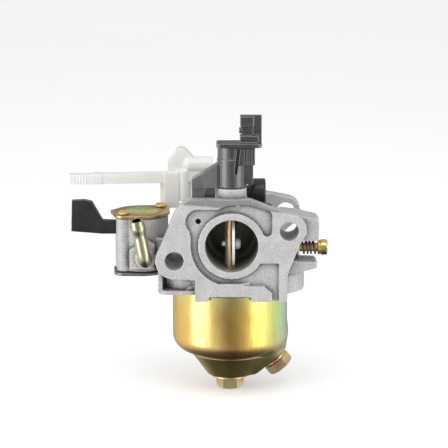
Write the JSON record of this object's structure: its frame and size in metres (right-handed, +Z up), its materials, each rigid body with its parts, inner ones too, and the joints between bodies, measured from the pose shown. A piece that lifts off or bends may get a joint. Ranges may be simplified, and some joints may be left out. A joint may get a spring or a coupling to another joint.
{
  "type": "carburetor",
  "caption": "Small-engine carburetor: cast body with throttle and choke, round float bowl, fuel valve with bent inlet tube, and adjusting screws.",
  "frame": {"origin": "centre of the throttle bore on the engine-side flange face", "axes": "+Y along the bore from the engine face to the air-cleaner face, +Z up with the float bowl hanging below, +X towards the idle mixture screw"},
  "size_m": [0.094, 0.0437, 0.1028],
  "materials": {
    "cast_aluminium": "die-cast, lightly grained, satin",
    "yellow_zinc": "yellow zinc plating over steel, bright with rainbow bands",
    "brass": "turned brass, bright",
    "steel": "plain bright steel",
    "grey_steel": "dull grey plated steel",
    "black_plastic": "moulded, satin",
    "white_plastic": "moulded, satin",
    "float_plastic": "moulded, matt",
    "black_rubber": "fuel-proof rubber"
  },
  "bodies": {
    "body": {"carburetor_body": "cast_aluminium", "float_bowl": "yellow_zinc", "bowl_gasket": "black_rubber", "bowl_bolt": "yellow_zinc", "bowl_bolt_washer": "yellow_zinc", "drain_screw": "yellow_zinc", "drain_screw_washer": "yellow_zinc", "float_pin": "steel", "needle_seat": "brass", "main_jet": "brass", "main_nozzle": "brass", "pilot_jet": "black_plastic", "fuel_valve_cover": "yellow_zinc", "fuel_valve_screw_front": "brass", "fuel_valve_screw_rear": "brass", "fuel_valve_seal": "black_rubber", "fuel_valve_spring": "steel", "fuel_strainer": "white_plastic", "fuel_valve_base": "grey_steel", "fuel_inlet_nipple": "yellow_zinc", "idle_mixture_spring": "grey_steel", "throttle_stop_spring": "grey_steel"},
    "throttle": {"throttle_shaft": "brass", "throttle_plate": "steel", "throttle_plate_screw": "steel", "throttle_lever": "black_plastic"},
    "choke": {"choke_shaft": "steel", "choke_plate": "steel", "choke_plate_screw_lower": "steel", "choke_plate_screw_upper": "steel", "choke_lever": "white_plastic"},
    "fuel_valve": {"fuel_valve_lever": "black_plastic"},
    "float_arm": {"float": "float_plastic"},
    "needle": {"inlet_needle": "brass"},
    "mixture_screw": {"idle_mixture_screw": "brass"},
    "stop_screw": {"throttle_stop_screw": "black_plastic"}
  },
  "joints": [
    {"name": "throttle", "type": "hinge", "parent": "body", "child": "throttle", "pos_m": [0, 0.0096, 0], "axis": [0, 0, 1], "range_deg": [-75, 0]},
    {"name": "choke", "type": "hinge", "parent": "body", "child": "choke", "pos_m": [0, 0.0324, 0], "axis": [0, 0, 1], "range_deg": [-75, 0]},
    {"name": "fuel_valve", "type": "hinge", "parent": "body", "child": "fuel_valve", "pos_m": [-0.0325, 0.019, 0], "axis": [0, 0, 1], "range_deg": [-90, 0]},
    {"name": "float_pivot", "type": "hinge", "parent": "body", "child": "float_arm", "pos_m": [-0.017, 0.0214, -0.0226], "axis": [0, -1, 0], "range_deg": [0, 6]},
    {"name": "needle_slide", "type": "slide", "parent": "body", "child": "needle", "axis": [0, 0, 1], "range_m": [0, 0.0006]},
    {"name": "mixture_turn", "type": "hinge", "parent": "body", "child": "mixture_screw", "pos_m": [0, 0.012, -0.0028], "axis": [1, 0, 0], "range_deg": [-360, 360]},
    {"name": "stop_turn", "type": "hinge", "parent": "body", "child": "stop_screw", "pos_m": [0, 0.0202, 0.0158], "axis": [1, 0, 0], "range_deg": [-360, 360]}
  ],
  "couplings": [
    {"joint": "needle_slide", "follows": "float_pivot", "m_per_rad": 0.0055}
  ]
}
